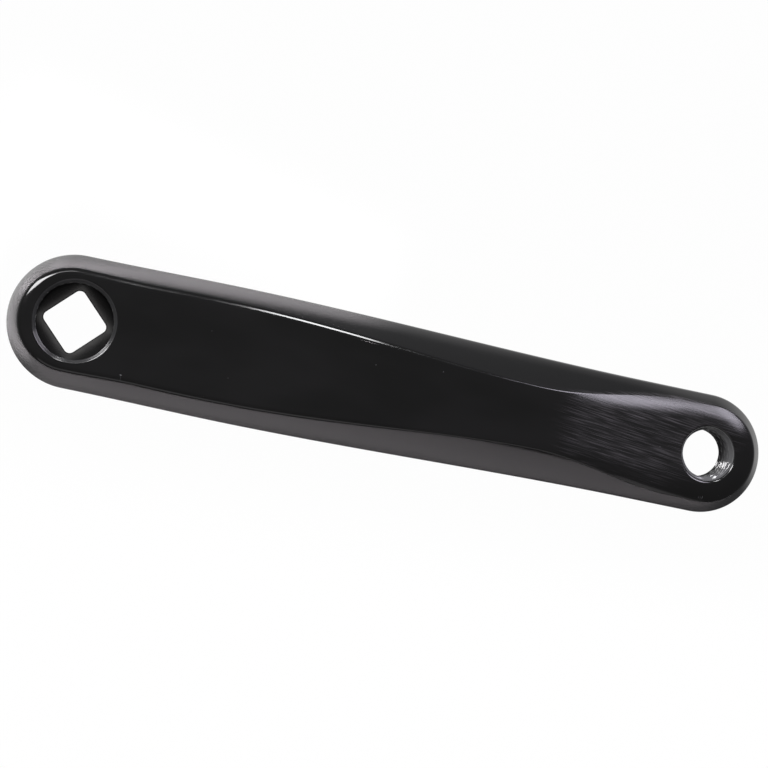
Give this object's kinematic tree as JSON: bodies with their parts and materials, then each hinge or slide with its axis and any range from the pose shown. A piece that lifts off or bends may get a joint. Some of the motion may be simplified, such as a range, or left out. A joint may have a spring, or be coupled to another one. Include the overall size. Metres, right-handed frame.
{
  "type": "bicycle crank arm",
  "caption": "Left-hand forged bicycle crank arm with bevelled sides, a tapered square spindle socket, an extractor thread and a pedal thread.",
  "frame": {"origin": "spindle axis at the inboard face of the boss", "axes": "+X along the arm from the spindle axis to the pedal axis, +Z outboard along the spindle axis, +Y across the arm"},
  "size_m": [0.2032, 0.0358, 0.031],
  "materials": {
    "black_anodised": "polished black anodised, brushed at the pedal end"
  },
  "bodies": {
    "root": {"crank_arm": "black_anodised"}
  },
  "joints": []
}
